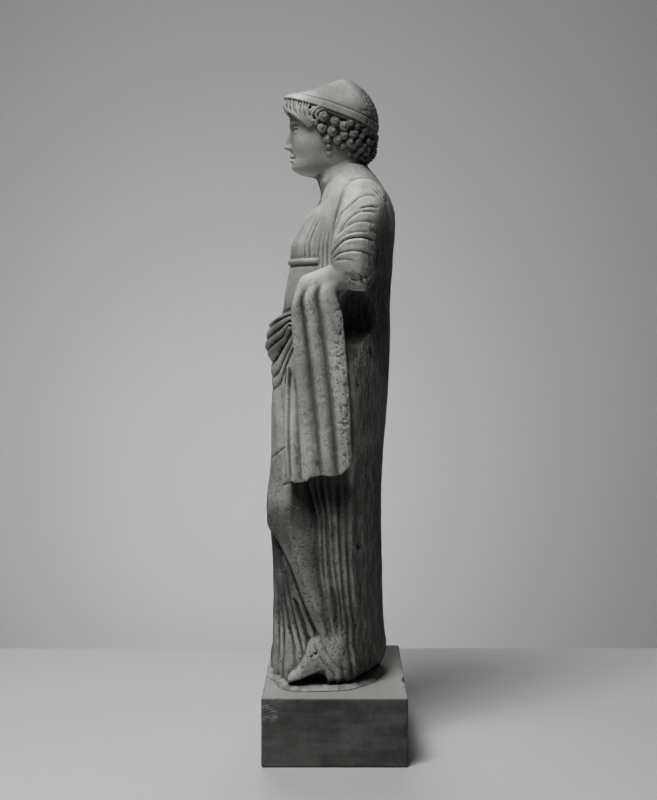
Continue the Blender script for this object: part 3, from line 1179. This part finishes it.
for side in (1, -1):
    for group, table, count, thick in LOCK_GROUPS:
        table = np.array(table)
        for number, share in enumerate(np.linspace(0, 2, count)):
            low = min(int(share), 1)
            points = table[low] + (share - low) * (table[low + 1] - table[low])
            points += random.uniform(-0.8, 0.8, (6, 2))
            proud = -0.7 + 1.1 * (number % 2)
            path = []
            for point in points:
                angle, level = hair_angle(*point)
                path.append(hair_place(side * max(angle, 3), level, proud))
            name = f"{group}_lock_{side}_{number}"
            sculpted.append(strand(name, path, thick, along=int(60 / HEAD_GRAIN)))
    for number in range(3):
        start = 2 + 4.5 * number
        swing = [(start, 995), (start + 0.5, 989), (start + 3, 982.5), (start + 9, 978)]
        path = [hair_place(side * angle, level, -0.5) for angle, level in swing]
        sculpted.append(strand(f"parting_lock_{side}_{number}", path, 2.6, along=int(40 / HEAD_GRAIN)))
    for number, (y, z, size) in enumerate(TEMPLE_CURLS):
        angle, level = hair_angle(y, z)
        hand = side * (1 if number % 3 else -1)
        set_curl(f"temple_curl_{side}_{number}", side * angle, level, size, hand)
    for row, spec in enumerate(CURL_ROWS):
        for number, angle in enumerate(np.arange(spec["first"], spec["last"], spec["step"])):
            here = side * (angle + random.uniform(-2, 2))
            level = spec["level"] + random.uniform(-2.2, 2.2)
            size = spec["size"] * random.uniform(0.8, 1.15)
            hand = side * (1 if number % 2 else -1)
            set_curl(f"curl_{side}_{row}_{number}", here, level, size, hand)

# The earrings: three beads that hang from the ear under the curls on each side, carved with the
# head and growing a little towards the lowest one.

EARRING = {"x": 48, "y": -11, "z": 953, "drop": 10.2, "inward": 4.6, "bead": 3.6, "beads": 3}
for side in (1, -1):
    for i in range(EARRING["beads"]):
        size = EARRING["bead"] + 0.6 * i
        x = side * (EARRING["x"] - EARRING["inward"] * i)
        middle = (x, EARRING["y"] + i, EARRING["z"] - EARRING["drop"] * i)
        sculpted.append(ball(f"bead_{side}_{i}", (size, size, size * 1.15), middle))

# Everything carved is one stone: the parts are joined into a single skin, the underside is cut
# flat, and then the marks of time and of the tools are worked into it.

SKIN = 1.0 if FINE else 2.0
bpy.ops.object.select_all(action="DESELECT")
for piece in sculpted:
    piece.select_set(True)
bpy.context.view_layer.objects.active = sculpted[0]
bpy.ops.object.join()
figure = bpy.context.object
figure.name = "carved_figure"
apply_modifier("REMESH", mode="VOXEL", voxel_size=SKIN / 1000, adaptivity=0)
apply_modifier("SMOOTH", factor=0.5, iterations=1)
bpy.ops.object.mode_set(mode="EDIT")
bpy.ops.mesh.select_all(action="SELECT")
bpy.ops.mesh.bisect(plane_co=(0, 0, SOLE / 1000), plane_no=(0, 0, 1), use_fill=True, clear_inner=True)
bpy.ops.object.mode_set(mode="OBJECT")


def joined_pairs(piece):
    pairs = np.empty(len(piece.data.edges) * 2, np.int64)
    piece.data.edges.foreach_get("vertices", pairs)
    return pairs.reshape(-1, 2)


def softened(points, pairs, share, rounds):
    """The points drawn towards the middle of their neighbours, each by its own share."""
    pairs = pairs[(share[pairs] > 0).any(axis=1)]
    a, b = pairs.T
    count = np.maximum(np.bincount(np.concatenate([a, b]), minlength=len(points)), 1)
    soft = points.copy()
    for _ in range(rounds):
        for i in range(3):
            around = np.bincount(a, soft[b, i], len(soft)) + np.bincount(b, soft[a, i], len(soft))
            soft[:, i] += share * (around / count - soft[:, i])
    return soft


# Where two parts of the carving meet in one cloth, the seam is rubbed away
points = corners(figure)
x, y, z = points.T
neck_seam = window(850, 864, 906, 914, z) * (1 - 0.7 * ease(60, 80, np.abs(x)))
above_fold = ease(4, 14, z - 820 - 1.11 * (y - 2)) * ebb(24, 40, y)
front_of_arm = np.maximum(above_fold, ease(800, 820, z) * ebb(-8, 2, y))
shoulder_seam = ebb(896, 904, z) * ease(38, 48, np.abs(x)) * ease(-30, -16, y) * front_of_arm
shoulder_seam = np.maximum(shoulder_seam, window(868, 876, 896, 904, z) * ease(34, 44, np.abs(x)))
elbow_seam = window(690, 704, 746, 760, z) * ease(76, 90, x) * (0.75 + 0.25 * ease(20, 40, y))
foot_seam = window(114, 122, 182, 200, z) * window(-32, -20, 12, 26, y) * ease(94, 104, x)
seams = np.clip(np.maximum.reduce([neck_seam, shoulder_seam, elbow_seam, 0.7 * foot_seam]), 0, 1)
move_corners(figure, softened(points, joined_pairs(figure), seams, 60 if FINE else 15))

# Cuts that cross several parts: the broken crease over the thigh and the strap holes of the foot
CUTS = [
    ([(-104, 446), (-92, 458), (-78, 470)], 2.6, 1.4),
    ([(-86, 410), (-72, 414), (-62, 421)], 2.0, 2.2),
    ([(62.4, 874.6), (71.7, 863.2), (81, 846.6), (86.2, 830), (87.9, 811), (88, 780)], 2.2, 1.5),
    ([(57.2, 873.5), (67.6, 861), (77.9, 844.5), (83.1, 828), (84, 790)], 1.8, 1.5),
    ([(-33, 184), (-27, 165), (-14, 143), (2, 126)], 1.0, 1.6),
    ([(-23, 186), (-15, 168), (-4, 150), (9, 136)], 1.1, 1.6),
    ([(-37, 156), (-33, 159)], 4.5, 1.7),
    ([(-30, 160), (-26.5, 163.5)], 4.5, 1.7),
]
points = corners(figure)
normals = corner_normals(figure)
x, y, z = points.T
over_shoulder = ease(770, 790, z) * ease(50, 56, y)
facing = ease(-0.1 - 0.5 * over_shoulder, 0.4 - 0.5 * over_shoulder, normals[:, 0])
move = facing * fold_lines(y, z, CUTS, roll=0.2)
in_head = ease(880, 930, z)


def rough_back(points, normals):
    """Where the carver left the back and the rear of the sides as the point chisel cut them."""
    x, y, z = points.T
    behind = ease(0.05, 0.6, normals[:, 1]) * ebb(880, 930, z) * ease(14, 34, y)
    start = np.interp(z, [300, 420, 440, 546, 668], [26, 26, 24, 20, 8])
    rear_side = ease(start, start + 18, y) * ease(0.1, 0.5, normals[:, 0]) * ebb(660, 740, z)
    rough = np.maximum(behind, rear_side * ebb(108, 114, x))
    return rough * ease(SOLE, SOLE + 10, z) * (1 - 0.75 * ease(790, 850, z))


tooled = rough_back(points, normals)
leaning = np.column_stack([x + 0.1 * z, y, (z + 0.25 * x) / 3.6])
strokes = ease(0.0, 0.7, lumps(leaning, 9.0, 31)) + 0.5 * ease(0.1, 0.6, lumps(leaning, 4.5, 32))
move -= tooled * (1.3 * strokes - 0.4) * (0.55 + 0.45 * lumps(points, 45, 33))
# Weather has eaten into the pleats' crests, the belly and the hem
crest = ease(108, 119, x) * window(410, 430, 680, 712, z)
band = bell(y - 9 - (700 - z) * 0.035, 8) + 0.5 * bell(y + 24, 7) * ebb(440, 470, z) + 0.35
eaten = ease(0.15, 0.6, lumps(points, 3.4, 41) + 0.4 * lumps(points, 9, 42))
move -= 1.5 * crest * np.minimum(band, 1) * eaten
front_skin = ebb(-95, -70, y) * window(400, 440, 660, 690, z)
move -= 0.7 * front_skin * ease(0.3, 0.7, lumps(points, 4.2, 43))
# A broken patch under the elbow
broken = window(12, 20, 50, 58, y) * window(719, 723, 733, 741, z) * ease(96, 104, x)
flaked = np.column_stack([x, 0.6 * y, 1.6 * z + 0.5 * y])
move -= broken * (0.7 + 1.9 * ease(-0.3, 0.5, lumps(flaked, 4.2, 46) + 0.7 * lumps(flaked, 8, 47)))
# The back of the cap and the nape are left rough
nape = in_head * ease(30, 52, y) * ease(900, 930, z)
move -= nape * (1.1 * ease(-0.1, 0.6, lumps(points, 4.0, 50)) + 0.6 * lumps(points, 12, 53))
# The skirt's folds are nicked and uneven
nicked = ebb(380, 450, z) * ease(0, 0.4, normals[:, 0]) * (1 - tooled)
nicks = 0.9 * ease(0.35, 0.75, lumps(points, 3.6, 48)) + 0.5 * ease(0.0, 0.8, lumps(leaning, 5.0, 49))
move -= nicked * nicks
move += (0.45 * lumps(points, 34, 44) + 0.3 * lumps(points, 12, 45)) * (1 - 0.7 * in_head)
move *= ease(SOLE, SOLE + 3, z)
points += normals * move[:, None]
points[:, 2] = np.maximum(points[:, 2], SOLE)
low, high = np.array(cad_low) * 1000, np.array(cad_high) * 1000
points = np.clip(points, low + 0.2, high - 0.2)
move_corners(figure, points)

budget = 196000 if FINE else 120000
faces = sum(len(p.vertices) - 2 for p in figure.data.polygons)
weight = figure.vertex_groups.new(name="keep")
seen = np.maximum(ease(20, 50, x), 0.7 * ebb(-50, -20, y)) * (1 - tooled)
in_head_first = 0.9 * in_head * ease(-30, 0, x) + 0.5 * in_head
rank = np.round(np.maximum.reduce([0.1 + 0.4 * seen, in_head_first, 0.9 * broken]), 1).clip(0, 0.9)
for level in np.unique(rank):
    weight.add(np.flatnonzero(rank == level).tolist(), 1 - float(level), "REPLACE")
apply_modifier("DECIMATE", ratio=min(1, budget / faces), vertex_group="keep", vertex_group_factor=0.6)
figure.vertex_groups.clear()
# Crumbs that hang on nothing are cleared away: only what is joined to the top of the head stays
top = int(np.argmax(corners(figure)[:, 2]))
bpy.ops.object.mode_set(mode="EDIT")
bpy.ops.mesh.select_mode(type="VERT")
bpy.ops.mesh.select_all(action="DESELECT")
bpy.ops.object.mode_set(mode="OBJECT")
figure.data.vertices[top].select = True
bpy.ops.object.mode_set(mode="EDIT")
bpy.ops.mesh.select_linked()
bpy.ops.mesh.select_all(action="INVERT")
bpy.ops.mesh.delete(type="VERT")
bpy.ops.object.mode_set(mode="OBJECT")
bpy.ops.object.shade_smooth()

# Dust and dirt settle in the hollows, and the crests are rubbed bright: both are kept as a value
# on the skin, from how far it lies below or above its own smoothed shape
points = corners(figure)
normals = corner_normals(figure)
soft = softened(points, joined_pairs(figure), np.ones(len(points)), 8)
depth = ((points - soft) * normals).sum(axis=1)
x, y, z = points.T
in_head = ease(880, 930, z)
tooled = rough_back(points, normals)
# Grime lies on the rough back, under the elbow and the hem, and on the lower skirt
over_foot = ease(20, 40, x) * ebb(2, 22, y) * ebb(170, 225, z)
grime = 0.84 * tooled + 0.7 * ebb(360, 470, z) * (1 - 0.8 * over_foot)
under_locks = ease(-34, -16, y) * ebb(988, 1000, z + TILT * y)
grime += in_head * (0.14 + 0.34 * under_locks + 0.42 * ease(10, 50, y)) * ease(922, 934, z + 0.3 * y)
fan_edge = np.interp(z, [190, 254, 314, 350], [-29, -58, -82, -96])
grime += 0.22 * window(160, 270, 320, 350, z) * ebb(-6, 2, y - fan_edge)
grime += 0.4 * window(480, 550, 585, 600, z) * ebb(-68, -56, y) * ease(66, 72, x)
grime += 0.52 * window(575, 640, 690, 706, z) * ebb(-66, -60, y) * window(-10, 60, 100, 106, x)
fan = ease(20, 40, x) * window(150, 180, 340, 372, z) * ebb(-4, 6, y - fan_edge)
roll = ease(20, 50, x) * window(555, 575, 690, 700, z) * ebb(-66, -62, y)
brow = ease(974, 984, z) * ebb(-40, -20, y) * ebb(992, 997, z + TILT * y)
grime += np.maximum.reduce([0.9 * fan, 0.9 * roll, 0.8 * brow]) * ease(0.05, 0.6, -depth) + 0.12 * brow
within = window(10, 40, 100, 108, x)
elbow = bell((y - 36) / 40, 1) * bell((z - 676) / 52, 1)
hem = ease(330, 412, z + 14 * lumps(points, 24, 52)) * ebb(438, 450, z) * window(-74, -60, 10, 34, y)
base = 0.9 * ebb(0, 6, z - UNDERCUT_TOP(y)) * (x > 60) * (y > -70)
grime += np.maximum(within * np.maximum(elbow, hem), base) + 0.25 * lumps(points, 30, 51)
grime = np.clip(grime, 0, 1)
# Crests and the rear pleats are pitted, the back is, and the skirt a little
crest = ease(108, 119, x) * window(400, 440, 690, 716, z)
crest *= 0.65 + 0.35 * bell(y - 9 - (700 - z) * 0.035, 10)
broken = window(10, 20, 50, 60, y) * window(716, 722, 735, 745, z) * ease(90, 104, x)
flaked = np.column_stack([x, 0.6 * y, 1.6 * z + 0.5 * y])
low_skirt = 0.8 * ebb(380, 480, z) + 0.25 * ebb(560, 740, z)
grime = np.clip(grime + 0.45 * broken * ease(-0.2, 0.5, lumps(flaked, 6, 54)), 0, 1)
pitted = np.maximum.reduce([crest, broken, tooled, np.minimum(low_skirt, 0.8), 0.12 + 0 * z])
pitted *= 1 - 0.85 * ease(895, 915, z)
hollows = np.clip(0.5 - depth / 1.6, 0, 1)
for name, values in (("hollows", hollows), ("grime", grime), ("pitted", pitted), ("tooled", tooled)):
    kept = figure.data.attributes.new(name, "FLOAT", "POINT")
    kept.data.foreach_set("value", values.astype(np.float32))



def on_skin(tree, name):
    """A value that the skin carries from point to point."""
    return node(tree, "ShaderNodeAttribute", attribute_name=name).outputs["Fac"]


limestone, tree, shader = new_material("soft_limestone")
place, stone = weathered(tree, {
    "Light tone": (0.64, 0.635, 0.61, 1),
    "Dark tone": (0.46, 0.455, 0.435, 1),
    "Blotch scale": 14.0,
    "Grain scale": 520.0,
    "Pit scale": 190.0,
    "Pits": 0.45,
})
hollow = on_skin(tree, "hollows")
dirt = times(tree, between(tree, hollow, 0.52, 0.95), 0.8)
rubbed = times(tree, between(tree, hollow, 0.45, 0.1), 0.3)
tone = blend(tree, dirt, stone.outputs["Color"], (0.25, 0.245, 0.23, 1))
tone = blend(tree, rubbed, tone, (0.78, 0.775, 0.75, 1))
# Pits of two sizes, deepest where the skin is worn, with dirt in them and pale chips beside them
pitted = on_skin(tree, "pitted")
pits = None
for scale, low, high in ((330.0, 0.36, 0.24), (170.0, 0.33, 0.2)):
    cells = {"Vector": place, "Scale": scale, "Randomness": 1.0}
    cell = node(tree, "ShaderNodeTexVoronoi", cells, feature="F1").outputs["Distance"]
    patches = between(tree, noise(tree, place, scale / 5, 3.0), 0.44, 0.6)
    pit = times(tree, between(tree, cell, low, high), patches)
    pits = pit if pits is None else combine(tree, "MAXIMUM", pits, pit)
pits = times(tree, pits, pitted)
chips = times(tree, between(tree, noise(tree, place, 420.0, 4.0), 0.56, 0.66), pitted)
chips = times(tree, chips, between(tree, noise(tree, place, 60.0, 3.0), 0.45, 0.62))
grime = on_skin(tree, "grime")
tone = tinted(tree, tone, grime, 0.86, (0.085, 0.083, 0.078, 1))
tone = tinted(tree, tone, pits, 0.6, (0.1, 0.098, 0.09, 1))
tone = tinted(tree, tone, chips, 0.5, (0.8, 0.79, 0.76, 1))
height = combine(tree, "SUBTRACT", stone.outputs["Height"], times(tree, pits, 1.6))
# Upright strokes of the point chisel on the back
tooled = on_skin(tree, "tooled")
upright = node(tree, "ShaderNodeMapping", {"Vector": place, "Scale": (1.0, 1.0, 0.22)}).outputs["Vector"]
strokes = times(tree, between(tree, noise(tree, upright, 150.0, 3.0), 0.42, 0.62), tooled)
height = combine(tree, "ADD", height, times(tree, strokes, 1.8))
tone = tinted(tree, tone, strokes, 0.2, (0.6, 0.59, 0.56, 1))
finish_material(tree, shader, stone, tone, height, 0.8, 0.0009)
figure.data.materials.clear()
figure.data.materials.append(limestone)
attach(figure, "root")
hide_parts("figure")
bpy.ops.object.select_all(action="DESELECT")

# A plain pale table, whose far edge shows before a plain wall that stands well behind it. Soft light
# falls from above, ahead of the figure, so that its near side falls into shade towards the back.

# The profile of table and wall: X and height in metres
SWEEP = [(1.9, 0), (-0.54, 0), (-0.57, -0.004), (-0.585, -0.015), (-0.59, -0.9), (-2.8, -0.9), (-2.8, 3.6)]
bpy.ops.mesh.primitive_grid_add(x_subdivisions=len(SWEEP) - 1, y_subdivisions=1, size=1)
backdrop = bpy.context.object
backdrop.name = "table_and_wall"
points = corners(backdrop)
step = np.round((points[:, 0] / 1000 + 0.5) * (len(SWEEP) - 1)).astype(int)
sweep = np.array(SWEEP)[step]
move_corners(backdrop, np.column_stack([sweep[:, 0], points[:, 1] / 1000 * 7, sweep[:, 1]]) * 1000)
bpy.ops.object.shade_smooth_by_angle(angle=math.radians(40))
pale_paint, tree, shader = new_material("pale_paint")
shader.inputs["Base Color"].default_value = (0.8, 0.8, 0.8, 1)
shader.inputs["Roughness"].default_value = 0.9
backdrop.data.materials.append(pale_paint)

# Each light: its name, where it stands, where it points, its size, its watts and its spread
LIGHTS = [
    ("window", (1.3, -0.7, 3.0), (0.05, 0, 0.65), 1.2, 46, 180),
    ("wall_light", (-0.7, -0.38, -0.35), (-2.8, -0.38, 3.0), 1.2, 23, 180),
    ("far_fill", (-1.7, -0.2, 1.5), (0, 0, 0.6), 1.4, 3, 120),
]
for name, start, target, size, watts, spread in LIGHTS:
    bpy.ops.object.light_add(type="AREA", location=start)
    lamp = bpy.context.object
    lamp.name = name
    lamp.data.size = size
    lamp.data.energy = watts
    lamp.data.spread = math.radians(spread)
    aim = Vector(target) - Vector(start)
    lamp.rotation_euler = aim.to_track_quat("-Z", "Y").to_euler()
world = bpy.data.worlds.new("soft_room")
bpy.context.scene.world = world
world.use_nodes = True
world.node_tree.nodes["Background"].inputs["Color"].default_value = (0.85, 0.92, 1.0, 1)
world.node_tree.nodes["Background"].inputs["Strength"].default_value = 0.012

# The camera stands level with the figure's hip, square to its left side. The picture is 657 by
# 800, with the point straight ahead a little right of the middle and above it.

PICTURE = {"wide": 657, "high": 800, "focal": 1297.6, "ahead_x": 341.3, "ahead_y": 324.2}
CAMERA_AT = (2.095, 0.00985, 0.6615)
bpy.ops.object.camera_add(location=CAMERA_AT, rotation=(math.radians(90), 0, math.radians(90)))
camera = bpy.context.object
camera.data.sensor_width = 36
camera.data.lens = 36 * PICTURE["focal"] / PICTURE["high"]
camera.data.shift_x = (PICTURE["wide"] / 2 - PICTURE["ahead_x"]) / PICTURE["high"]
camera.data.shift_y = (PICTURE["ahead_y"] - PICTURE["high"] / 2) / PICTURE["high"]
camera.data.clip_start = 0.05
bpy.context.scene.camera = camera
bpy.context.scene.view_settings.view_transform = "Standard"
bpy.context.scene.view_settings.look = "High Contrast"
